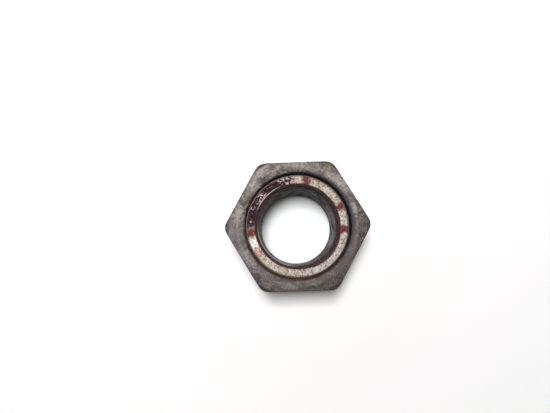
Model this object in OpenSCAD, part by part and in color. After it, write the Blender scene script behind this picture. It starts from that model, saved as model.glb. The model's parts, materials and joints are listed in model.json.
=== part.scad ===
// All-metal locking hex nut: a hexagonal steel body with a plain turned seat in
// its upper end, and a hard steel locking ring pressed into that seat. The
// right-hand thread is tapped through both, once the ring is home.
// Origin: centre of the lower bearing face. +Z is the thread axis and points
// at the end that holds the ring. Flats face +Y and -Y, corners lie on +X and -X.

/* [Hexagon] */
// Width across flats, the spanner size
across_flats = 30; // [29:0.1:32]
// Height of the body between its two end faces
body_height = 18.7; // [17:0.1:22]
// Plan radius that rounds the six upright edges
edge_radius = 2.4; // [1:0.1:4]
// Diameter of the flat bearing face left by the lower 30 degree chamfer
bearing_face_d = 28.4; // [27.4:0.1:29]
// Diameter at which the slight 30 degree chamfer of the upper corners starts
top_face_d = 32.2; // [31:0.1:33]

/* [Thread] */
// Major diameter of the thread
thread_d = 20; // [19:0.1:20.4]
// Pitch of the thread
thread_pitch = 1.5; // [1, 1.5, 2]
// How much wider the tapping hole is than the basic minor diameter
minor_allowance = 0.22; // [0.16:0.02:0.3]
// Mouth diameter of the lower countersink
countersink_d = 21.2; // [20.6:0.1:22]
// Straight steps in which each turn of the helix is drawn
steps_per_turn = 40; // [24:4:60]

/* [Locking ring] */
// Outer diameter of the ring, and of the seat it is pressed into
ring_d = 23.7; // [23.4:0.1:24]
// Height of the ring
ring_height = 3.4; // [2.6:0.1:5]
// Depth of the ring's upper face below the upper face of the body
ring_depth = 0.9; // [0.5:0.1:1.4]
// Mouth diameter of the bevel that leads the bolt into the ring
ring_mouth_d = 20.1; // [19.3:0.1:21]
// Chamfer on the ring's upper outer edge
ring_chamfer = 0.15; // [0.05:0.05:0.3]

/* [Rolled lip] */
// Outer diameter of the shallow turned dish round the seat
dish_d = 28; // [26.6:0.1:28.6]
// Depth that the dish falls to at its inner edge
dish_depth = 0.26; // [0.1:0.02:0.34]
// Diameter where the dish breaks over into the steep lip
lip_d = 24.9; // [24.7:0.1:26.2]
// Width of the open crevice between the lip's foot and the ring
crevice = 0.2; // [0.1:0.02:0.26]

/* [Hidden] */
$fn = 96;

corner_count = 6;
chamfer_angle = 30;
// A metric thread's flanks lean 30 degrees, so its sharp triangle is
// cos(30) pitches high and the basic crests stand 5/8 of that inside the major
flank_angle = 30;
crest_height = 5 / 8 * cos(flank_angle) * thread_pitch;
minor_d = thread_d - 2 * crest_height + minor_allowance;
// Half the width of the flat at the bottom of the groove
root_half = thread_pitch / 16;
flat_r = across_flats / 2;
// A bound wider than any corner of the hexagon, for cutting tools
outside_r = across_flats;
// How far a cutting tool runs past a face
past = 1;
// How far the groove's section reaches inside the crests
groove_overrun = 0.2;

ring_top_z = body_height - ring_depth;
ring_base_z = ring_top_z - ring_height;
crevice_foot_z = ring_top_z - 2 * ring_chamfer;
countersink_depth = (countersink_d - minor_d) / 2 * tan(chamfer_angle);
bevel_depth = (ring_mouth_d - minor_d) / 2;

// Outline of the body in plan: a hexagon whose corners are true arcs
module rounded_hexagon() {
    centre_r = (flat_r - edge_radius) / cos(chamfer_angle);
    along = centre_r * sin(chamfer_angle);
    polygon([
        for (side = [0:corner_count - 1], end = [-1, 1])
            let (turn = 90 + side * 360 / corner_count)
                [flat_r * cos(turn) - end * along * sin(turn),
                 flat_r * sin(turn) + end * along * cos(turn)]
    ]);
    for (corner = [0:corner_count - 1])
        rotate(corner * 360 / corner_count)
            translate([centre_r, 0])
                circle(r = edge_radius);
}

// Turned envelope that chamfers the corners at both ends
module chamfered_envelope() {
    rise = (outside_r - bearing_face_d / 2) * tan(chamfer_angle);
    fall = (outside_r - top_face_d / 2) * tan(chamfer_angle);
    rotate_extrude()
        polygon([
            [0, 0],
            [bearing_face_d / 2, 0],
            [outside_r, rise],
            [outside_r, body_height - fall],
            [top_face_d / 2, body_height],
            [0, body_height]
        ]);
}

// Everything that is turned out of the body's middle, from the lower
// countersink up through the minor diameter, the ring's seat, lip and dish
module turned_hollow() {
    rotate_extrude()
        polygon([
            [0, -past],
            [countersink_d / 2 + past / tan(chamfer_angle), -past],
            [minor_d / 2, countersink_depth],
            [minor_d / 2, ring_base_z],
            [ring_d / 2, ring_base_z],
            [ring_d / 2, crevice_foot_z],
            [ring_d / 2 + crevice, crevice_foot_z],
            [lip_d / 2, body_height - dish_depth],
            [dish_d / 2, body_height],
            [dish_d / 2, body_height + past],
            [0, body_height + past]
        ]);
}

// Half the groove's width, measured along the axis, at a radius
function groove_half(r) = root_half + (thread_d / 2 - r) * tan(flank_angle);

// Right-hand helical groove between two heights, as a solid to be cut away. Its
// section is the trapezoid of the basic profile, run a little into the open
// bore. Both pieces take their groove from the same helix, so it runs on
// unbroken from one to the other.
module thread_groove(from_z, to_z) {
    inner_r = minor_d / 2 - groove_overrun;
    section = [
        [inner_r, -groove_half(inner_r)],
        [thread_d / 2, -groove_half(thread_d / 2)],
        [thread_d / 2, groove_half(thread_d / 2)],
        [inner_r, groove_half(inner_r)]
    ];
    sides = len(section);
    steps = ceil((to_z - from_z) / thread_pitch * steps_per_turn);
    points = [
        for (step = [0:steps], p = section)
            let (z = from_z + step * thread_pitch / steps_per_turn,
                 turn = 360 * z / thread_pitch)
                [p[0] * cos(turn), p[0] * sin(turn), z + p[1]]
    ];
    skin = [
        for (step = [0:steps - 1], side = [0:sides - 1])
            let (a = step * sides + side,
                 b = step * sides + (side + 1) % sides)
                each [[a, b, a + sides], [b, b + sides, a + sides]]
    ];
    start_cap = [for (side = [sides - 1:-1:0]) side];
    end_cap = [for (side = [0:sides - 1]) steps * sides + side];
    polyhedron(points, concat([start_cap], skin, [end_cap]));
}

// Forged and tapped body, finished in black oxide
module hex_body() {
    color("#4a4340")
        difference() {
            intersection() {
                linear_extrude(body_height) rounded_hexagon();
                chamfered_envelope();
            }
            turned_hollow();
            thread_groove(-thread_pitch / 2, ring_base_z + thread_pitch);
        }
}

// Bright hardened ring that grips the bolt's thread
module lock_ring() {
    color("#c9beb4")
        difference() {
            rotate_extrude()
                polygon([
                    [minor_d / 2, ring_base_z],
                    [ring_d / 2, ring_base_z],
                    [ring_d / 2, ring_top_z - ring_chamfer],
                    [ring_d / 2 - ring_chamfer, ring_top_z],
                    [ring_mouth_d / 2, ring_top_z],
                    [minor_d / 2, ring_top_z - bevel_depth]
                ]);
            thread_groove(ring_base_z - thread_pitch, ring_top_z + thread_pitch / 2);
        }
}

hex_body();
lock_ring();
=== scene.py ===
import json
from math import cos, pi, radians, sin, tan

import bmesh
import bpy
from mathutils import Euler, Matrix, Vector


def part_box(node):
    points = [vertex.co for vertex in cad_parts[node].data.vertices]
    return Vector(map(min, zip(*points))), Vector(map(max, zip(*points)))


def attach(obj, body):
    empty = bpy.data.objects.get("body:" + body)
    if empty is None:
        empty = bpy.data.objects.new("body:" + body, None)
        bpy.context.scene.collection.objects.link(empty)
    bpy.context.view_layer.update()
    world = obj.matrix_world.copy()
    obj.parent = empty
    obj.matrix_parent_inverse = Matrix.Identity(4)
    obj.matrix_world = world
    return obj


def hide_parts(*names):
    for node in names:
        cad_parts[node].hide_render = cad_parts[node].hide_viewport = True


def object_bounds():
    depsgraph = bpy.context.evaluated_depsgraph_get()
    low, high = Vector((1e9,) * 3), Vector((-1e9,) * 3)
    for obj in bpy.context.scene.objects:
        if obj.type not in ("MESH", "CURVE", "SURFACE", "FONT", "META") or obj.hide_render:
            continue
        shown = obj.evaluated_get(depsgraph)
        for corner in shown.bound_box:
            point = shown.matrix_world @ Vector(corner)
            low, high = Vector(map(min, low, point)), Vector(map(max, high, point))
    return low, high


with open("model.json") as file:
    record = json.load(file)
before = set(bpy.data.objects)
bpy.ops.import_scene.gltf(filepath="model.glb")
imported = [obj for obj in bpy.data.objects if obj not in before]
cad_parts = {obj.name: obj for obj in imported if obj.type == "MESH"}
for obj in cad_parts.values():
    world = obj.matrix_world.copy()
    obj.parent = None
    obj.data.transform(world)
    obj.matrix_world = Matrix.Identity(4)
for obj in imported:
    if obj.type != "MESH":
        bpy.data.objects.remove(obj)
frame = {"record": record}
cad_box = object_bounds()

# The camera: a short lens held a little over a hundred millimetres above the nut
# and looking almost straight down the thread, so the far end of the bore shows
# smaller than the near one.
MM = 0.001
LENS = 26.95
SENSOR_WIDTH = 36
NEAR_LIMIT = 2 * MM
CAMERA_PLACE = Vector((-3.04, -4.99, 114.15)) * MM
# Degrees about X, Y and Z
CAMERA_TILT = (5.73, 1.41, -1.83)

camera_data = bpy.data.cameras.new("camera")
camera_data.lens = LENS
camera_data.sensor_width = SENSOR_WIDTH
camera_data.clip_start = NEAR_LIMIT
camera = bpy.data.objects.new("camera", camera_data)
camera.location = CAMERA_PLACE
camera.rotation_euler = Euler([radians(angle) for angle in CAMERA_TILT])
bpy.context.collection.objects.link(camera)
bpy.context.scene.camera = camera


# The light: a small white tent. One soft panel hangs above the nut, a little to
# its left and behind it, and the glow of the cloth all round lifts the shadows.
PANEL_PLACE = Vector((-16, 39, 260)) * MM
PANEL_SIZE = (50 * MM, 66 * MM)
PANEL_WATTS = 0.79
TENT_WHITE = (1, 1, 1, 1)
TENT_GLOW = 0.06

panel = bpy.data.lights.new("panel", "AREA")
panel.shape = "RECTANGLE"
panel.size, panel.size_y = PANEL_SIZE
panel.energy = PANEL_WATTS
panel_object = bpy.data.objects.new("panel", panel)
panel_object.location = PANEL_PLACE
bpy.context.collection.objects.link(panel_object)

world = bpy.data.worlds.new("tent")
world.use_nodes = True
world.node_tree.nodes["Background"].inputs["Color"].default_value = TENT_WHITE
world.node_tree.nodes["Background"].inputs["Strength"].default_value = TENT_GLOW
bpy.context.scene.world = world
bpy.context.scene.view_settings.view_transform = "Standard"


# The floor: one sheet of matt white card that the nut stands on. It sweeps up at
# its rim into an upright wall, so that no edge shows from the side.
class Socket:
    """One socket of a node tree. Sums written with it add Math nodes to that tree."""

    def __init__(self, bench, socket):
        self.bench = bench
        self.socket = socket

    def also(self, name):
        """Another output of the same node."""
        return Socket(self.bench, find_socket(self.socket.node.outputs, name))

    def __add__(self, other):
        return self.bench.math("ADD", self, other)

    def __radd__(self, other):
        return self.bench.math("ADD", other, self)

    def __sub__(self, other):
        return self.bench.math("SUBTRACT", self, other)

    def __rsub__(self, other):
        return self.bench.math("SUBTRACT", other, self)

    def __mul__(self, other):
        return self.bench.math("MULTIPLY", self, other)

    def __rmul__(self, other):
        return self.bench.math("MULTIPLY", other, self)

    def __truediv__(self, other):
        return self.bench.math("DIVIDE", self, other)

    def __rtruediv__(self, other):
        return self.bench.math("DIVIDE", other, self)


def find_socket(sockets, key):
    """The socket at an index, or the first one in use that has this name."""
    if isinstance(key, int):
        return sockets[key]
    return next(socket for socket in sockets if socket.enabled and socket.name == key)


class Bench:
    """A node tree that is being built."""

    def __init__(self, tree):
        self.tree = tree
        tree.nodes.clear()

    def add(self, kind, settings=None, sockets=None):
        """A node: its settings first, then what its sockets hold or are linked to."""
        node = self.tree.nodes.new(kind)
        for name, value in (settings or {}).items():
            if name == "stops":
                set_stops(node.color_ramp, value)
            else:
                setattr(node, name, value)
        for key, value in (sockets or {}).items():
            socket = find_socket(node.inputs, key)
            if isinstance(value, Socket):
                self.tree.links.new(value.socket, socket)
            else:
                socket.default_value = value
        first = next((socket for socket in node.outputs if socket.enabled), None)
        return Socket(self, first)

    def math(self, operation, *values):
        """A Math node."""
        return self.add("ShaderNodeMath", {"operation": operation}, dict(enumerate(values)))

    def least(self, one, other):
        """The smaller of two numbers."""
        return self.math("MINIMUM", one, other)

    def most(self, one, other):
        """The larger of two numbers."""
        return self.math("MAXIMUM", one, other)

    def size_of(self, value):
        """A number without its sign."""
        return self.math("ABSOLUTE", value)

    def from_whole(self, value):
        """How far a number is from the nearest whole one."""
        return self.size_of(value - self.math("ROUND", value))

    def ramp(self, value, low, high, start=0.0, end=1.0):
        """A number that eases from start to end while value goes from low to high."""
        return self.add(
            "ShaderNodeMapRange",
            {"interpolation_type": "SMOOTHSTEP"},
            {"Value": value, "From Min": low, "From Max": high, "To Min": start, "To Max": end},
        )

    def fade(self, value, low, high):
        """A number that eases from 1 down to 0 while value goes from low to high."""
        return self.ramp(value, low, high, 1.0, 0.0)

    def mix(self, share, one, other):
        """A colour between one and other."""
        return self.add(
            "ShaderNodeMix",
            {"data_type": "RGBA"},
            {"Factor": share, "A": one, "B": other},
        )

    def colours(self, value, stops):
        """A colour looked up along a row of (place, colour) stops."""
        return self.add("ShaderNodeValToRGB", {"stops": stops}, {"Fac": value})

    def axes(self, place):
        """The X, Y and Z parts of a vector."""
        parts = self.add("ShaderNodeSeparateXYZ", {}, {"Vector": place})
        return parts, parts.also("Y"), parts.also("Z")

    def vector(self, x, y, z):
        """A vector made of three numbers."""
        return self.add("ShaderNodeCombineXYZ", {}, {"X": x, "Y": y, "Z": z})

    def spot(self):
        """The place on the piece, in the nut's own frame."""
        return self.add("ShaderNodeTexCoord").also("Object")

    def noise(self, place, size, seed=0.0, detail=4.0, roughness=0.55):
        """Soft noise from 0 to 1 whose patches are about size across."""
        return self.add(
            "ShaderNodeTexNoise",
            {"noise_dimensions": "4D"},
            {"Vector": place, "W": seed, "Scale": 1 / size, "Detail": detail,
             "Roughness": roughness},
        )

    def patchy(self, place, size, low, high, **kind):
        """A mask of irregular patches: noise eased from 0 below low to 1 above high."""
        return self.ramp(self.noise(place, size, **kind), low, high)

    def bump(self, height, depth, strength):
        """A normal that leans as if the surface rose and fell by up to depth."""
        return self.add(
            "ShaderNodeBump", {}, {"Strength": strength, "Distance": depth, "Height": height}
        )

    def surface(self, **sockets):
        """The material's shader, with the sockets that are named, and its output."""
        names = {name.replace("_", " "): value for name, value in sockets.items()}
        shader = self.add("ShaderNodeBsdfPrincipled", {}, names)
        self.add("ShaderNodeOutputMaterial", {}, {"Surface": shader})


def set_stops(ramp, stops):
    """Gives a colour ramp its (place, colour) stops."""
    while len(ramp.elements) > 1:
        ramp.elements.remove(ramp.elements[-1])
    ramp.elements[0].position = stops[0][0]
    for place, _ in stops[1:]:
        ramp.elements.new(place)
    for element, (_, colour) in zip(ramp.elements, stops):
        element.color = colour


def paint(name):
    """A new material and the bench of its node tree."""
    material = bpy.data.materials.new(name)
    material.use_nodes = True
    return material, Bench(material.node_tree)


FLOOR_MIDDLE = 0.02
FLOOR_FLAT = 0.30
FLOOR_SWEEP = 0.25
FLOOR_WALL = 0.7
FLOOR_SIDES = 96
SWEEP_STEPS = 16
# Card colours that carry painted light and shade, laid out below by distance
CARD_COOL_BOUNCE = (0.882, 0.90, 0.90, 1)
CARD_WARM_SHADE = (0.885, 0.862, 0.86, 1)
CARD_LIT_WHITE = (0.99, 0.99, 0.99, 1)
CARD_REACH = 90 * MM
# The card's colour carries painted light by distance, as a share of the reach: a cool painted
# bounce inside the bore, warm painted shade and bounce beside the nut, and a painted brightening
# further out where the lamp falls off
CARD_LIGHT_TINTS = ((0.11, CARD_COOL_BOUNCE), (0.18, CARD_WARM_SHADE), (0.40, CARD_WARM_SHADE), (1.0, CARD_LIT_WHITE))


def sweep_profile():
    """Radius and height along the card, from its middle to the top of its rim."""
    yield FLOOR_MIDDLE, 0
    yield FLOOR_FLAT, 0
    for step in range(1, SWEEP_STEPS + 1):
        bend = pi / 2 * step / SWEEP_STEPS
        yield FLOOR_FLAT + FLOOR_SWEEP * sin(bend), FLOOR_SWEEP * (1 - cos(bend))
    yield FLOOR_FLAT + FLOOR_SWEEP, FLOOR_WALL


def make_floor():
    """The card, as a round sheet at the height of the nut's lower face."""
    level = cad_box[0].z
    turns = [2 * pi * side / FLOOR_SIDES for side in range(FLOOR_SIDES)]
    card = bmesh.new()
    middle = card.verts.new((0, 0, level))
    rings = [
        [card.verts.new((radius * cos(turn), radius * sin(turn), level + height)) for turn in turns]
        for radius, height in sweep_profile()
    ]
    for side in range(FLOOR_SIDES):
        after = (side + 1) % FLOOR_SIDES
        card.faces.new((middle, rings[0][side], rings[0][after]))
        for inner, outer in zip(rings, rings[1:]):
            card.faces.new((inner[side], outer[side], outer[after], inner[after]))
    mesh = bpy.data.meshes.new("floor")
    card.to_mesh(mesh)
    card.free()
    mesh.shade_smooth()
    return bpy.data.objects.new("floor", mesh)


def card_material():
    """Matt card, with painted light and shade by distance from the nut."""
    material, bench = paint("white card")
    distance = bench.add(
        "ShaderNodeVectorMath", {"operation": "LENGTH"}, {"Vector": bench.spot()}
    )
    bench.surface(
        Base_Color=bench.colours(distance / CARD_REACH, CARD_LIGHT_TINTS),
        Roughness=0.8,
        Specular_IOR_Level=0.2,
    )
    return material


floor = make_floor()
floor.data.materials.append(card_material())
bpy.context.collection.objects.link(floor)


# The hexagonal body: forged carbon steel, turned and tapped, then blackened.
# Its upper end carries a turned seat for the locking ring with a shallow dish
# and a steep lip round it, and its lower end a countersink and a chamfer.
body_low, body_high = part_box("hex_body")
ring_low, ring_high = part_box("lock_ring")
thread_mount = next(m for m in frame["record"]["mounts"] if m["name"] == "thread")

FLAT_DISTANCE = body_high.y
CORNER_DISTANCE = body_high.x
BODY_BASE = body_low.z
BODY_TOP = body_high.z
RING_RADIUS = ring_high.x
RING_BASE = ring_low.z
RING_TOP = ring_high.z

# The thread: its flanks lean thirty degrees, and the groove's flat bottom is an
# eighth of the pitch wide. Crests, roots and mouths are eased by small amounts.
THIRTY = radians(30)
PITCH = 1.5 * MM
MAJOR_RADIUS = 10 * MM
CREST_RADIUS = thread_mount["dims"]["r_mm"] * MM
ROOT_HALF = 1 / 16
CREST_EASING = 0.06 * MM
ROOT_EASING = 0.04 * MM
MOUTH_EASING = 0.02 * MM
# Faces that meet the thread start this far outside its crests, clear of the groove
THREAD_MARGIN = 0.9 * MM

# The corners are rounded by arcs, whose radius follows from how far they stand out
CORNERS = 6
CORNER_ARC = (FLAT_DISTANCE / cos(THIRTY) - CORNER_DISTANCE) / (1 / cos(THIRTY) - 1)
EDGE_ROUNDING = 0.22 * MM
# The chamfers' faces look this many degrees up or down from the level
CHAMFER_FACING = 60
TOP_FACE_RADIUS = 16.1 * MM
BEARING_FACE_RADIUS = 14.2 * MM
COUNTERSINK_RADIUS = 10.6 * MM
COUNTERSINK_MARGIN = 0.15 * MM
# The bearing face's edge is softened: the chamfer has points this far outside
# it, the edge itself is lifted a little, and the level face starts inside it
CHAMFER_POINTS = (0.7 * MM, 0.2 * MM)
BEARING_LIFT = 0.015 * MM
BEARING_INSIDE = 0.2 * MM
# Bare stretches of the flats' grid, next to the rounded edges above and below
FLAT_MARGINS = (0.5 * MM, 1.3 * MM)

# The dish and the lip bend into each other: the bend takes these shares of both
DISH_RADIUS = 14.0 * MM
DISH_DEPTH = 0.26 * MM
DISH_SHARE = 0.18
LIP_RADIUS = 12.45 * MM
LIP_SHARE = 0.35
CREVICE_WIDTH = 0.2 * MM
CREVICE_FOOT = RING_TOP - 0.3 * MM
# The dish's outer rim is softened between these distances inside and outside it
RIM_INSIDE = 0.15 * MM
RIM_OUTSIDE = 0.1 * MM
RIM_DROP = 0.02 * MM

BODY_STEPS = 360
THREAD_ROWS = 12
SEAT_ROWS = 3
SEAT_WALL_ROWS = 5
LIP_ROWS = 8
DISH_ROWS = 4
TOP_FACE_ROWS = 9
TOP_EDGE_ROWS = 2
EDGE_ROWS = 4
FLAT_ROWS = 34
BEARING_ROWS = 8


class Section:
    """Half the cross-section of a turned part, as a closed chain of points."""

    def __init__(self):
        self.points = []

    def add(self, r, z, push=(0, 0), hexed=0.0, slope=0.0, lead=0.0, wear=0.0, forged=0.0):
        """One point. push is added after the hexagon has cut the point short; hexed
        says that it moves with the hexagon's outline, and slope how far it drops
        for that; lead makes it climb with the thread; wear and forged are finish."""
        self.points.append((r, z, push, hexed, slope, lead, wear, forged))

    def line(self, start, end, rows, **marks):
        """Points that share out a straight stretch, its two ends left out."""
        for row in range(1, rows):
            share = row / rows
            self.add(*(a + (b - a) * share for a, b in zip(start, end)), **marks)

    def arc(self, centre, radius, first, last, rows, **marks):
        """Points round an edge, pushed out from the arc's centre between two angles."""
        for row in range(rows + 1):
            turn = radians(first + (last - first) * row / rows)
            self.add(*centre, push=(radius * cos(turn), radius * sin(turn)), **marks)

    def bend(self, start, knee, end, rows, **marks):
        """Points on the smooth bend that leaves start towards knee and ends at end."""
        for row in range(rows + 1):
            share = row / rows
            rest = 1 - share
            self.add(*(
                a * rest * rest + 2 * b * rest * share + c * share * share
                for a, b, c in zip(start, knee, end)
            ), **marks)

    def thread(self, foot, top):
        """Rows that climb with the helix, from one pitch below foot up to top."""
        start = (foot // PITCH - 1) * PITCH
        for row in range(int((top - start) / PITCH * THREAD_ROWS) + THREAD_ROWS + 1):
            self.add(CREST_RADIUS, start + row * PITCH / THREAD_ROWS, lead=1.0)

    def mesh(self, name):
        """The chain as a mesh, with each point's marks as attributes."""
        mesh = bpy.data.meshes.new(name)
        places = [(r, 0, z) for r, z, *_ in self.points]
        count = len(places)
        mesh.from_pydata(places, [(i, (i + 1) % count) for i in range(count)], [])
        push = mesh.attributes.new("push", "FLOAT_VECTOR", "POINT")
        for item, point in zip(push.data, self.points):
            item.vector = (point[2][0], 0, point[2][1])
        for column, label in enumerate(("hexed", "slope", "lead", "wear", "forged"), 3):
            marks = mesh.attributes.new(label, "FLOAT", "POINT")
            for item, point in zip(marks.data, self.points):
                item.value = point[column]
        return mesh


def body_section():
    """The body's section, from the thread up through the seat and round the outside."""
    section = Section()
    edge = EDGE_ROUNDING
    fall = tan(THIRTY)
    top = BODY_TOP - edge

    section.thread(BODY_BASE, RING_BASE)
    seat = (CREST_RADIUS + THREAD_MARGIN, RING_BASE)
    seat_corner = (RING_RADIUS, RING_BASE)
    crevice = (RING_RADIUS, CREVICE_FOOT)
    section.add(*seat)
    section.line(seat, seat_corner, SEAT_ROWS)
    section.add(*seat_corner)
    section.line(seat_corner, crevice, SEAT_WALL_ROWS)
    section.add(*crevice)
    section.add(RING_RADIUS + CREVICE_WIDTH, CREVICE_FOOT)

    # The lip, dish and upper face are drawn below the steel's surface by the
    # edge's rounding and pushed up by it, so that the upper edge can be cut to it
    up = (0, edge)
    lip_foot = Vector((RING_RADIUS + CREVICE_WIDTH, CREVICE_FOOT - edge))
    lip_knee = Vector((LIP_RADIUS, BODY_TOP - DISH_DEPTH - edge))
    dish_rim = Vector((DISH_RADIUS, top))
    bend_start = lip_knee + (lip_foot - lip_knee) * LIP_SHARE
    bend_end = lip_knee + (dish_rim - lip_knee) * DISH_SHARE
    section.bend(bend_start, lip_knee, bend_end, LIP_ROWS, push=up)
    dish_end = (DISH_RADIUS - RIM_INSIDE, top - RIM_DROP)
    face_start = (DISH_RADIUS + RIM_OUTSIDE, top)
    section.line(bend_end, dish_end, DISH_ROWS, push=up)
    section.add(*dish_end, push=up, wear=0.4)
    section.add(*face_start, push=up, wear=0.4, forged=0.5)
    cone_start = TOP_FACE_RADIUS + edge * (1 - 1 / cos(THIRTY)) / fall
    section.line(face_start, (cone_start, top), TOP_FACE_ROWS, push=up, forged=1.0)
    section.arc((cone_start, top), edge, 90, CHAMFER_FACING, TOP_EDGE_ROWS, wear=0.8, forged=1.0)

    # The hexagon's outside: upper edge, flats and lower edge move with its outline
    corner = CORNER_DISTANCE - edge
    shoulder = top - (corner - cone_start) * fall
    ankle = (CORNER_DISTANCE - BEARING_FACE_RADIUS + edge) * fall
    above, below = FLAT_MARGINS
    section.arc((corner, shoulder), edge, CHAMFER_FACING, 0, EDGE_ROWS,
                hexed=1.0, slope=-fall, wear=1.0, forged=1.0)
    section.line((corner, shoulder - above), (corner, ankle + below), FLAT_ROWS,
                 push=(edge, 0), hexed=1.0, forged=1.0)
    section.arc((corner, ankle), edge, 0, -CHAMFER_FACING, EDGE_ROWS,
                hexed=1.0, slope=fall, wear=1.0, forged=0.6)

    # The lower chamfer runs down to the flat bearing face
    for out in CHAMFER_POINTS:
        section.add(BEARING_FACE_RADIUS + out, out * fall)
    section.add(BEARING_FACE_RADIUS, BEARING_LIFT, wear=0.6)
    bearing_start = (BEARING_FACE_RADIUS - BEARING_INSIDE, 0)
    bearing_end = (COUNTERSINK_RADIUS + COUNTERSINK_MARGIN, 0)
    section.add(*bearing_start)
    section.line(bearing_start, bearing_end, BEARING_ROWS)
    section.add(*bearing_end)
    return section.mesh("body_section")


TURNING_NUMBERS = (
    "Flat distance", "Corner distance", "Corner arc", "Edge rounding", "Height", "Pitch",
    "Major radius", "Crest radius", "Thread foot", "Thread top", "Mouth radius",
    "Mouth height", "Mouth slope", "Unevenness", "Seed",
)
# Wear on an upright edge fades out over this angle from the corner, in radians
UPRIGHT_WEAR_REACH = 0.075
UPRIGHT_WEAR = 0.8
SWELL_SIZE = 3.5 * MM
DENT_SIZE = 1.1 * MM
# A dent forms as the noise rises between these levels, deeper than any swell
DENT_LEVELS = (0.56, 0.8)
DENT_DEPTH = 1.6
SEAM_REACH = MM / 1000


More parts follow.
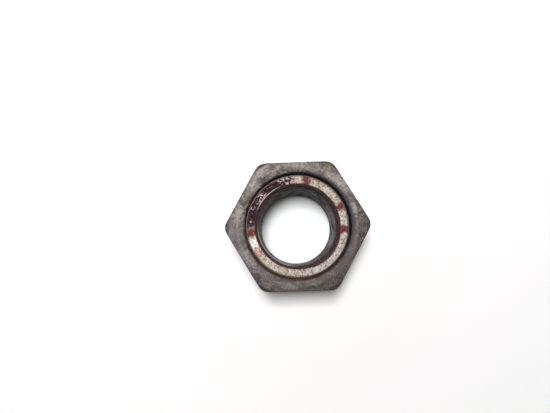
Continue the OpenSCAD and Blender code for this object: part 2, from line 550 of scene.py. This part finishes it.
def turning_tree():
    """Geometry nodes that turn a section about Z, cut the hexagon and the thread."""
    tree = bpy.data.node_groups.new("turn and thread", "GeometryNodeTree")
    bench = Bench(tree)
    sockets = {
        "Section": "NodeSocketGeometry",
        "Steps round": "NodeSocketInt",
        **dict.fromkeys(TURNING_NUMBERS, "NodeSocketFloat"),
        "Material": "NodeSocketMaterial",
    }
    for name, kind in sockets.items():
        tree.interface.new_socket(name, in_out="INPUT", socket_type=kind)
    tree.interface.new_socket("Part", in_out="OUTPUT", socket_type="NodeSocketGeometry")
    given = bench.add("NodeGroupInput")
    size = {name: given.also(name) for name in sockets}

    # A grid with one column per step round and one row per point of the section
    count = bench.add(
        "GeometryNodeAttributeDomainSize", {"component": "MESH"}, {"Geometry": size["Section"]}
    )
    rows = count + 1
    columns = size["Steps round"] + 1
    grid = bench.add(
        "GeometryNodeMeshGrid",
        {},
        {"Size X": 1.0, "Size Y": 1.0, "Vertices X": columns, "Vertices Y": rows},
    )
    index = bench.add("GeometryNodeInputIndex")
    step = bench.math("FLOOR", (index + 0.5) / rows)
    row = bench.math("MODULO", index - step * rows, count)
    turn = step / size["Steps round"]

    def marked(label, kind="FLOAT"):
        """An attribute of the mesh it is read on."""
        return bench.add(
            "GeometryNodeInputNamedAttribute", {"data_type": kind}, {"Name": label}
        )

    def drawn(value, kind="FLOAT"):
        """What the section says at this vertex's row."""
        return bench.add(
            "GeometryNodeSampleIndex",
            {"data_type": kind, "domain": "POINT"},
            {"Geometry": size["Section"], "Value": value, "Index": row},
        )

    place = bench.add("GeometryNodeInputPosition")
    place_x, _, place_z = bench.axes(drawn(place, "FLOAT_VECTOR"))
    push_x, _, push_z = bench.axes(drawn(marked("push", "FLOAT_VECTOR"), "FLOAT_VECTOR"))
    hexed = drawn(marked("hexed"))

    # The hexagon's outline at this angle, measured from the nearest corner
    off = bench.from_whole(turn * CORNERS) * (2 * pi / CORNERS)
    flat = size["Flat distance"] / bench.math("COSINE", THIRTY - off)
    arc = size["Corner arc"]
    centre = size["Corner distance"] - arc
    aside = centre * bench.math("SINE", off)
    beyond = bench.math("SQRT", arc * arc - aside * aside)
    rounded = centre * bench.math("COSINE", off) + beyond
    arc_end = bench.math("ARCTAN2", arc * sin(THIRTY), centre + arc * cos(THIRTY))
    on_arc = bench.math("LESS_THAN", off, arc_end)
    outline = flat + (rounded - flat) * on_arc

    # Points on the outline move with it, and it cuts short whatever stands past it
    shift = (size["Corner distance"] - outline) * hexed
    radius = bench.least(place_x - shift, outline - size["Edge rounding"]) + push_x
    height = bench.least(
        place_z - shift * drawn(marked("slope")), size["Height"] - size["Edge rounding"]
    ) + push_z

    # The threaded wall: rows climb by one pitch a turn and stop at the two ends
    climb = place_z + size["Pitch"] * turn
    climb = bench.least(bench.most(climb, size["Thread foot"]), size["Thread top"])
    away = bench.from_whole(climb / size["Pitch"] - turn) * size["Pitch"]
    flank = size["Major radius"] - (away - size["Pitch"] * ROOT_HALF) / tan(THIRTY)
    wall = bench.math("SMOOTH_MAX", flank, size["Crest radius"], CREST_EASING)
    wall = bench.math("SMOOTH_MIN", wall, size["Major radius"], ROOT_EASING)
    from_mouth = bench.size_of(climb - size["Mouth height"])
    mouth = size["Mouth radius"] - size["Mouth slope"] * from_mouth
    wall = bench.math("SMOOTH_MAX", wall, mouth, MOUTH_EASING)
    lead = drawn(marked("lead"))
    radius = radius + (wall - radius) * lead
    height = height + (climb - height) * lead

    angle = turn * (2 * pi)
    spot = bench.vector(
        radius * bench.math("COSINE", angle), radius * bench.math("SINE", angle), height
    )
    part = bench.add("GeometryNodeSetPosition", {}, {"Geometry": grid, "Position": spot})

    # Upright edges are worn as the turned ones are
    upright = bench.fade(off, 0.0, UPRIGHT_WEAR_REACH) * UPRIGHT_WEAR * hexed
    marks = {
        "wear": bench.most(drawn(marked("wear")), upright),
        "forged": drawn(marked("forged")),
    }
    for label, value in marks.items():
        part = bench.add(
            "GeometryNodeStoreNamedAttribute",
            {"data_type": "FLOAT", "domain": "POINT"},
            {"Geometry": part, "Name": label, "Value": value},
        )
    part = bench.add("GeometryNodeMergeByDistance", {}, {"Geometry": part, "Distance": SEAM_REACH})

    # Forged faces are slightly uneven, and worn edges carry small dents
    swell = bench.noise(place, SWELL_SIZE, seed=size["Seed"], detail=3.0, roughness=0.6) - 0.5
    dents = bench.patchy(
        place, DENT_SIZE, *DENT_LEVELS, seed=size["Seed"] + 5, detail=2.0, roughness=0.5
    )
    lift = swell * marked("forged") - dents * marked("wear") * DENT_DEPTH
    offset = bench.add(
        "ShaderNodeVectorMath",
        {"operation": "SCALE"},
        {"Vector": bench.add("GeometryNodeInputNormal"), "Scale": lift * size["Unevenness"]},
    )
    part = bench.add("GeometryNodeSetPosition", {}, {"Geometry": part, "Offset": offset})
    part = bench.add("GeometryNodeRealizeInstances", {}, {"Geometry": part})
    part = bench.add(
        "GeometryNodeSetMaterial", {}, {"Geometry": part, "Material": size["Material"]}
    )
    bench.add("NodeGroupOutput", {}, {"Part": part})
    return tree


TURNING = turning_tree()
# What the tree is told about the nut as a whole, whichever piece it turns
NUT_SIZES = {
    "Flat distance": FLAT_DISTANCE,
    "Corner distance": CORNER_DISTANCE,
    "Corner arc": CORNER_ARC,
    "Height": BODY_TOP,
    "Pitch": PITCH,
    "Major radius": MAJOR_RADIUS,
    "Crest radius": CREST_RADIUS,
}
# Faces that meet at more than this keep a sharp edge between them
SHARP_FROM = radians(38)


def turn_part(name, section, sizes):
    """A finished piece: the section turned and threaded, as a plain closed mesh."""
    blank = bpy.data.objects.new(name + "_blank", section)
    bpy.context.collection.objects.link(blank)
    turning = blank.modifiers.new("turning", "NODES")
    turning.node_group = TURNING
    sizes = {**NUT_SIZES, **sizes}
    for item in TURNING.interface.items_tree:
        if item.in_out == "INPUT" and item.name in sizes:
            turning[item.identifier] = sizes[item.name]
    shape = blank.evaluated_get(bpy.context.evaluated_depsgraph_get())
    mesh = bpy.data.meshes.new_from_object(shape)
    blank.modifiers.remove(turning)
    bpy.data.objects.remove(blank)
    steel = bmesh.new()
    steel.from_mesh(mesh)
    bmesh.ops.recalc_face_normals(steel, faces=steel.faces)
    steel.to_mesh(mesh)
    steel.free()
    mesh.name = name
    mesh.shade_smooth()
    mesh.set_sharp_from_angle(angle=SHARP_FROM)
    piece = bpy.data.objects.new(name, mesh)
    bpy.context.collection.objects.link(piece)
    return piece


def shade(red, green, blue):
    """A colour given as it would show on a screen, each part from 0 to 255."""
    parts = (value / 255 for value in (red, green, blue))
    return (*(((part + 0.055) / 1.055) ** 2.4 for part in parts), 1)


OXIDE_DARK = shade(28, 23, 22)
OXIDE = shade(66, 57, 54)
OXIDE_GREY = shade(108, 101, 96)
OXIDE_BROWN = shade(78, 54, 42)
OXIDE_BLUE = shade(82, 83, 83)
OXIDE_SHADES = ((0.42, OXIDE_DARK), (0.50, OXIDE), (0.565, OXIDE_GREY))
SCUFFED = shade(143, 134, 128)
SCUFFED_COOL = shade(134, 131, 128)
BARE_STEEL = shade(160, 154, 148)
BORE_DARK = shade(36, 31, 33)
BORE = shade(64, 58, 60)
OLIVE = shade(94, 79, 64)
SEPIA = shade(54, 40, 36)
RUST = shade(104, 54, 34)
RUST_STAIN = shade(98, 68, 48)
# Painted shade, laid in the lip's foot, over the lip on the far side and along one side of the bore
PAINTED_SHADE = shade(22, 16, 16)
# Places on the upper face where handling has rubbed the oxide thin: angle from
# +X in degrees, radius, half widths along and across in mm, colour and strength
RUBBED = (
    (46, 13.9, 3.6, 1.5, SCUFFED, 0.6),
    (17, 13.5, 1.5, 1.0, SCUFFED, 0.6),
    (88, 14.0, 5.0, 1.1, SCUFFED_COOL, 0.45),
    (122, 15.2, 2.0, 1.4, SCUFFED, 0.4),
    (136, 13.9, 2.6, 1.5, SCUFFED, 0.4),
    (166, 14.1, 2.6, 1.2, SCUFFED, 0.7),
    (212, 13.6, 4.0, 1.2, SCUFFED_COOL, 0.45),
    (257, 14.0, 3.0, 1.0, SCUFFED_COOL, 0.3),
)
# Places that old oil has stained brown, given in the same way
STAINED = (
    (60, 15.8, 1.8, 1.5, OLIVE, 0.7),
    (240, 15.4, 1.6, 2.0, OLIVE, 0.7),
    (272, 13.2, 3.0, 1.0, SEPIA, 0.7),
    (306, 13.6, 6.0, 2.0, SEPIA, 0.65),
    (345, 13.6, 3.2, 1.4, SEPIA, 0.7),
)
# How ragged those places are, and where they fade, as shares of their half widths
RAGGEDNESS = 3.6
PLACE_FADE = (0.45, 1.15)
# Heights between which the upper face's finish comes in
UPPER_FACE = (BODY_TOP - 1.3 * MM, BODY_TOP - 0.9 * MM)
# Radii between which these fade out: the bore's finish, the rub on its crests, the painted shade in
# the lip's foot and over the lip, and the rust from the crevice
BORE_FADE = (10.3 * MM, 10.9 * MM)
CREST_FADE = (CREST_RADIUS + 0.05 * MM, CREST_RADIUS + 0.2 * MM)
FOOT_SHADE_FADE = (LIP_RADIUS - 0.35 * MM, LIP_RADIUS - 0.1 * MM)
LIP_SHADE_FADE = (LIP_RADIUS - 0.1 * MM, LIP_RADIUS + 0.7 * MM)
CREEP_FADE = (LIP_RADIUS - 0.1 * MM, LIP_RADIUS + 0.5 * MM)
# Distances across the nut, each along a direction of its own, over which the oil and painted shade,
# the painted shade over the lip, the rust and the painted shade in the bore change
OIL_AND_SHADE_SIDE = (-9 * MM, 13 * MM)
SHADED_SIDE = (-8 * MM, 5 * MM)
NEAR_SIDE = (-12 * MM, -5 * MM)
BORE_SHADE_SIDE = (7 * MM, 9.5 * MM)
# The flats' scuffs are drawn out this much along X and Y, and shortened along Z
SCUFF_STRETCH = (2.2, 2.2, 0.7)


def worn_place(bench, spot, ragged, angle, distance, along, across):
    """A mask of one place on the upper face, with a ragged edge."""
    turn = radians(angle)
    x, y, _ = bench.axes(spot)
    outward = (x * cos(turn) + y * sin(turn) - distance * MM) / (across * MM)
    sideways = (y * cos(turn) - x * sin(turn)) / (along * MM)
    reach = bench.math("SQRT", outward * outward + sideways * sideways)
    return bench.fade(reach + ragged, *PLACE_FADE)


def oxide_material():
    """Black oxide on forged steel, rubbed, oiled and a little rusted."""
    material, bench = paint("black oxide steel")
    spot = bench.spot()
    x, y, z = bench.axes(spot)
    radius = bench.math("SQRT", x * x + y * y)
    on_top = bench.ramp(z, *UPPER_FACE)
    mottle = bench.noise(spot, 1.7 * MM, seed=1.0, detail=6.0, roughness=0.72)
    grain = bench.noise(spot, 0.6 * MM, seed=2.0, detail=3.0, roughness=0.7)
    base = bench.colours(mottle * 0.5 + grain * 0.5, OXIDE_SHADES)

    # Browner where old oil and rust have stayed, bluer where the oxide is intact, and darker
    # towards the near side, partly from oil soaked in most there and partly as painted shade for
    # the sheen that side lacks
    brown = bench.patchy(spot, 3.6 * MM, 0.44, 0.58, seed=3.0, detail=5.0, roughness=0.65)
    blue = bench.patchy(spot, 2.8 * MM, 0.50, 0.60, seed=4.0)
    soaked = bench.patchy(spot, 1.5 * MM, 0.42, 0.58, seed=15.0, detail=6.0, roughness=0.75)
    oil_and_shade = bench.ramp(x * 0.25 - y, *OIL_AND_SHADE_SIDE)
    base = bench.mix(brown * (0.3 + oil_and_shade * 0.55), base, OXIDE_BROWN)
    base = bench.mix(blue * 0.55, base, OXIDE_BLUE)
    base = bench.mix(oil_and_shade * (0.4 + soaked * 0.5), base, OXIDE_DARK)

    # The upper face's rubbed and stained places, and small flecks all over it
    ragged = bench.noise(spot, 1.1 * MM, seed=6.0, detail=6.0, roughness=0.78)
    ragged = (ragged - 0.5) * RAGGEDNESS
    speckle = bench.patchy(spot, 0.45 * MM, 0.40, 0.62, seed=7.0, detail=3.0, roughness=0.7)
    for angle, distance, along, across, colour, strength in RUBBED + STAINED:
        mask = worn_place(bench, spot, ragged, angle, distance, along, across)
        base = bench.mix(mask * on_top * (0.25 + speckle * 0.75) * strength, base, colour)
    flecks = bench.patchy(spot, 0.38 * MM, 0.55, 0.66, seed=14.0, detail=3.0, roughness=0.7)
    base = bench.mix(flecks * on_top * 0.35, base, SCUFFED_COOL)

    # Painted shade darkens the foot of the lip, and spreads over the lip on the far side, which
    # faces away from the lamp
    level = radius + (grain - 0.5) * 0.4 * MM
    wide = level - (x + y * 0.35) * 0.04
    lip_shade = bench.fade(wide, *LIP_SHADE_FADE) * bench.ramp(y + x * 0.35, *SHADED_SIDE)
    lip_shade = bench.most(lip_shade, bench.fade(level, *FOOT_SHADE_FADE))
    base = bench.mix(lip_shade * on_top, base, PAINTED_SHADE)

    # Rust has crept out of the crevice on the near side
    creep = bench.fade(level, *CREEP_FADE) * bench.fade(x * 0.6 + y, *NEAR_SIDE)
    creep = creep * bench.patchy(spot, 1.2 * MM, 0.44, 0.60, seed=13.0)
    base = bench.mix(creep * on_top * 0.7, base, RUST_STAIN)

    # The flats are calmer, with scuffs drawn out along the spanner's travel
    streaks = bench.add(
        "ShaderNodeMapping", {"vector_type": "TEXTURE"}, {"Vector": spot, "Scale": SCUFF_STRETCH}
    )
    scuff = bench.patchy(streaks, 0.9 * MM, 0.56, 0.76, seed=8.0, detail=6.0, roughness=0.7)
    base = bench.mix((1 - on_top) * 0.55, base, OXIDE)
    base = bench.mix(scuff * (1 - on_top) * 0.3, base, SCUFFED)

    # Edges are worn to bare steel, and rust has started in small spots
    edges = bench.add("ShaderNodeAttribute", {"attribute_name": "wear"}).also("Fac")
    wear = bench.patchy(spot, 0.5 * MM, 0.42, 0.70, seed=9.0, detail=5.0, roughness=0.7)
    wear = edges * wear * (1 - on_top * 0.65)
    base = bench.mix(wear * 0.6, base, BARE_STEEL)
    rust = bench.patchy(spot, 0.9 * MM, 0.63, 0.72, seed=10.0, detail=5.0, roughness=0.7)
    base = bench.mix(rust * 0.5, base, RUST)

    # Inside the bore the oxide is even and dark and only the crests are rubbed. Painted shade
    # darkens it along one side
    bore = bench.mix(grain, BORE_DARK, BORE)
    crest = bench.fade(radius, *CREST_FADE)
    crest = crest * bench.patchy(spot, 2.5 * MM, 0.4, 0.6, seed=12.0)
    bore = bench.mix(crest * 0.6, bore, BARE_STEEL)
    bore_shade = bench.ramp(x * 0.5 - y * 0.87, *BORE_SHADE_SIDE)
    bore = bench.mix(bore_shade * 0.5, bore, PAINTED_SHADE)
    base = bench.mix(bench.fade(radius, *BORE_FADE), base, bore)

    bench.surface(
        Base_Color=base,
        Roughness=0.46 + grain * 0.12 - wear * 0.12,
        Metallic=0.3 + wear * 0.5,
        Specular_IOR_Level=0.3,
        Normal=bench.bump(grain * 0.6 + mottle, 0.05 * MM, 0.6),
    )
    return material


hex_body_steel = turn_part("hex_body_steel", body_section(), {
    "Steps round": BODY_STEPS,
    "Edge rounding": EDGE_ROUNDING,
    "Thread foot": BODY_BASE,
    "Thread top": RING_BASE,
    "Mouth radius": COUNTERSINK_RADIUS,
    "Mouth height": BODY_BASE,
    "Mouth slope": 1 / tan(THIRTY),
    "Unevenness": 0.06 * MM,
    "Seed": 1.0,
    "Material": oxide_material(),
})
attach(hex_body_steel, "root")
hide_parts("hex_body")


# The locking ring: hard bright steel, turned, bevelled at its mouth, pressed into
# the seat and tapped together with the body. Dried thread-locker has left a dark
# film in its bevel and over a quarter of its face, and red-brown runs across it.
RING_MOUTH_RADIUS = 10.05 * MM
RING_CHAMFER = 0.15 * MM
# Two rounds of points ease the chamfer: one just inside it on the face, and one
# this share of its width from the wall and a little lower than the face
CHAMFER_START = 0.03 * MM
CHAMFER_SHARE = 0.4
CHAMFER_DROP = 0.05 * MM
RING_STEPS = 480
FACE_ROWS = 8
RING_WALL_ROWS = 5


def ring_section():
    """The ring's section, from the thread over its face and down its wall."""
    section = Section()
    chamfer = RING_RADIUS - RING_CHAMFER
    section.thread(RING_BASE, RING_TOP)
    section.line((RING_MOUTH_RADIUS, RING_TOP), (chamfer, RING_TOP), FACE_ROWS)
    section.add(chamfer - CHAMFER_START, RING_TOP, wear=0.6)
    section.add(RING_RADIUS - RING_CHAMFER * CHAMFER_SHARE, RING_TOP - CHAMFER_DROP, wear=0.6)
    wall_top = (RING_RADIUS, RING_TOP - RING_CHAMFER)
    wall_foot = (RING_RADIUS, RING_BASE)
    base_end = (CREST_RADIUS + THREAD_MARGIN, RING_BASE)
    section.add(*wall_top, wear=0.2)
    section.line(wall_top, wall_foot, RING_WALL_ROWS)
    section.add(*wall_foot)
    section.line(wall_foot, base_end, SEAT_ROWS)
    section.add(*base_end)
    return section.mesh("ring_section")


CREAM = shade(151, 137, 122)
CHALK = shade(196, 190, 182)
STRAW = shade(128, 112, 90)
PALE_GREY = shade(150, 139, 133)
PINKISH = shade(142, 124, 113)
BUFF = shade(146, 90, 58)
RED_BROWN = shade(88, 23, 22)
MAROON = shade(42, 16, 22)
LINING_DARK = shade(50, 32, 36)
LINING = shade(78, 59, 58)
# Pale steel where the film has flaked, lighter than the bare face as painted sparkle
SHARD_AND_SPARKLE = shade(182, 164, 164)
SOOT = shade(44, 32, 30)
# The turned face's own tint, by angle from +X in degrees
FACE_TINTS = (
    (0, CREAM), (18, CREAM), (34, CREAM), (50, CREAM), (62, STRAW), (74, CREAM), (88, CREAM),
    (100, PALE_GREY), (150, PALE_GREY), (188, PINKISH), (195, CHALK), (203, CHALK),
    (212, BUFF), (222, PINKISH), (240, CREAM), (262, PINKISH), (280, PALE_GREY),
    (320, PALE_GREY), (345, CREAM), (360, CREAM),
)
# Stripes where thread-locker has run across the face: angle, half width and
# softness in degrees
RUNS = ((22.5, 4.5, 2.0), (77, 5.0, 2.0), (187, 5.0, 2.0), (354.5, 4.5, 2.0))
# Other stretches, given in the same way: what the dried film still covers, where painted glints
# light the film's inner edge and the ring's outer edge, where the bevel's film creeps furthest on
# to the face, and where a painted highlight lies on the first crest
FILM = (137, 45, 6.0)
INNER_GLINT = (134, 20, 8.0)
OUTER_GLINT = (316, 28, 10.0)
CREEP = (320, 26, 10.0)
CREST_HIGHLIGHT = (222, 40, 14.0)
# Where the film has flaked off most, baring pale steel with painted sparkle, and how much it adds
# to the noise there
FLAKED = ((141, 10, 6.0, 0.045), (98, 12, 8.0, 0.07))
# Where noise counts as flaked, and how much of the film is lost there
SHARD_LEVELS = (0.56, 0.62)
SHARD_LOSS = 0.95
FULL_TURN = 360
# How much the noise moves the ends of a stretch, in degrees
WAVER = 16
# The outward marks are laid out round this radius and drawn out along it
MARKS_RADIUS = 11 * MM
MARKS_STRETCH = 0.3
FACE_MIDDLE = (RING_RADIUS + RING_MOUTH_RADIUS) / 2
FACE_HALF = 0.9 * MM
# The two painted glints: the radius of each and how far from it the glint fades
INNER_GLINT_RADIUS = RING_MOUTH_RADIUS + 0.08 * MM
INNER_GLINT_FADE = (0.03 * MM, 0.1 * MM)
OUTER_GLINT_RADIUS = RING_RADIUS - 0.12 * MM
OUTER_GLINT_FADE = (0.04 * MM, 0.12 * MM)
# The film that lines the bevel and bore fades out over these radii and heights
LINING_FADE = (RING_MOUTH_RADIUS, RING_MOUTH_RADIUS + 0.12 * MM)
BEVEL_FADE = (RING_TOP - 0.12 * MM, RING_TOP - 0.03 * MM)
# The first crest's painted highlight fades over these radii and starts over these heights
CREST_HIGHLIGHT_FADE = (CREST_RADIUS + 0.05 * MM, CREST_RADIUS + 0.16 * MM)
CREST_HIGHLIGHT_FOOT = (RING_TOP - 2.0 * MM, RING_TOP - 1.6 * MM)
# How far the lining creeps on to the face, on its own stretch and by its waver
CREEP_WIDTH = 0.28 * MM
CREEP_WAVER = 0.5 * MM


def ring_material():
    """Turned steel, pitted, with a flaked film of dried thread-locker."""
    material, bench = paint("bright ring steel")
    spot = bench.spot()
    x, y, z = bench.axes(spot)
    radius = bench.math("SQRT", x * x + y * y)
    turn = bench.math("FRACT", bench.math("ARCTAN2", y, x) / (2 * pi) + 1)
    waver = bench.noise(spot, 1.1 * MM, seed=1.0, detail=5.0, roughness=0.65) - 0.5
    angle = turn * FULL_TURN + waver * WAVER

    def near(middle, half, soft):
        """A mask of the stretch within half degrees of middle."""
        off = bench.math("FRACT", (angle - middle) / FULL_TURN + 0.5) - 0.5
        return bench.fade(bench.size_of(off) * FULL_TURN, half - soft, half + soft)

    # The bare face, with fine marks that run outwards across it
    steel = bench.colours(
        bench.math("FRACT", angle / FULL_TURN + 1),
        [(degrees / FULL_TURN, tint) for degrees, tint in FACE_TINTS],
    )
    outward = MARKS_RADIUS / radius
    fan = bench.vector(x * outward, y * outward, radius * MARKS_STRETCH)
    marks = bench.noise(fan, 0.28 * MM, seed=2.0, detail=3.0, roughness=0.7)
    grain = bench.noise(spot, 0.35 * MM, seed=3.0, detail=3.0, roughness=0.65)
    steel = bench.mix(bench.ramp(marks * 0.6 + grain * 0.4, 0.44, 0.60) * 0.6, steel, CHALK)
    steel = bench.mix(bench.fade(grain, 0.37, 0.49) * 0.75, steel, SOOT)
    # Pits are thickest towards the ring's two edges
    rim = bench.size_of(radius - FACE_MIDDLE) / FACE_HALF
    pits = bench.noise(spot, 0.3 * MM, seed=6.0, detail=3.0, roughness=0.7) - rim * 0.07
    steel = bench.mix(bench.fade(pits, 0.33, 0.40) * 0.7, steel, SOOT)

    # The dried film has come off in shards that leave a pale face, lightened as painted sparkle,
    # and the runs lie over it
    shards = bench.noise(spot, 0.6 * MM, seed=4.0, detail=5.0, roughness=0.8)
    for *stretch, amount in FLAKED:
        shards = shards + near(*stretch) * amount
    film = near(*FILM)
    cover = film * (1 - bench.ramp(shards, *SHARD_LEVELS) * SHARD_LOSS)
    runs = 0.0
    for stretch in RUNS:
        runs = bench.most(runs, near(*stretch))
    runs = runs * bench.patchy(
        spot, 0.6 * MM, 0.34, 0.46, seed=5.0, detail=5.0, roughness=0.75
    )
    face = bench.mix(film * 0.7, steel, SHARD_AND_SPARKLE)
    face = bench.mix(cover, face, MAROON)
    face = bench.mix(runs * 0.92, face, RED_BROWN)

    # Painted glints lie along the film's inner edge, and along the ring's outer edge on the near
    # side
    inner_glint = bench.fade(bench.size_of(radius - INNER_GLINT_RADIUS), *INNER_GLINT_FADE)
    inner_glint = inner_glint * near(*INNER_GLINT)
    outer_glint = bench.fade(bench.size_of(radius - OUTER_GLINT_RADIUS), *OUTER_GLINT_FADE)
    outer_glint = outer_glint * near(*OUTER_GLINT)
    face = bench.mix(bench.most(inner_glint, outer_glint) * 0.85, face, CHALK)

    # Film lines the bevel and the bore and creeps unevenly on to the face. A painted highlight lies
    # along one side of the first crest below the bevel
    creep = near(*CREEP) * CREEP_WIDTH + waver * CREEP_WAVER
    inner = bench.fade(radius - creep, *LINING_FADE)
    inner = bench.most(inner, bench.fade(z, *BEVEL_FADE))
    lining = bench.mix(bench.ramp(grain, 0.35, 0.65), LINING_DARK, LINING)
    crest_highlight = bench.fade(radius, *CREST_HIGHLIGHT_FADE) * bench.ramp(z, *CREST_HIGHLIGHT_FOOT) * near(*CREST_HIGHLIGHT)
    lining = bench.mix(crest_highlight * 0.7, lining, CHALK)
    colour = bench.mix(inner * (1 - inner_glint), face, lining)

    covered = bench.most(inner, bench.most(cover, runs))
    bench.surface(
        Base_Color=colour,
        Roughness=0.56 + covered * 0.12 - inner * 0.2,
        Metallic=0.2 - covered * 0.2,
        Specular_IOR_Level=0.1,
        Normal=bench.bump(grain + marks * 0.6, 0.04 * MM, 0.5),
    )
    return material


lock_ring_steel = turn_part("lock_ring_steel", ring_section(), {
    "Steps round": RING_STEPS,
    "Edge rounding": 0.0,
    "Thread foot": RING_BASE,
    "Thread top": RING_TOP,
    "Mouth radius": RING_MOUTH_RADIUS,
    "Mouth height": RING_TOP,
    "Mouth slope": 1.0,
    "Unevenness": 0.0,
    "Seed": 2.0,
    "Material": ring_material(),
})
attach(lock_ring_steel, "root")
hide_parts("lock_ring")
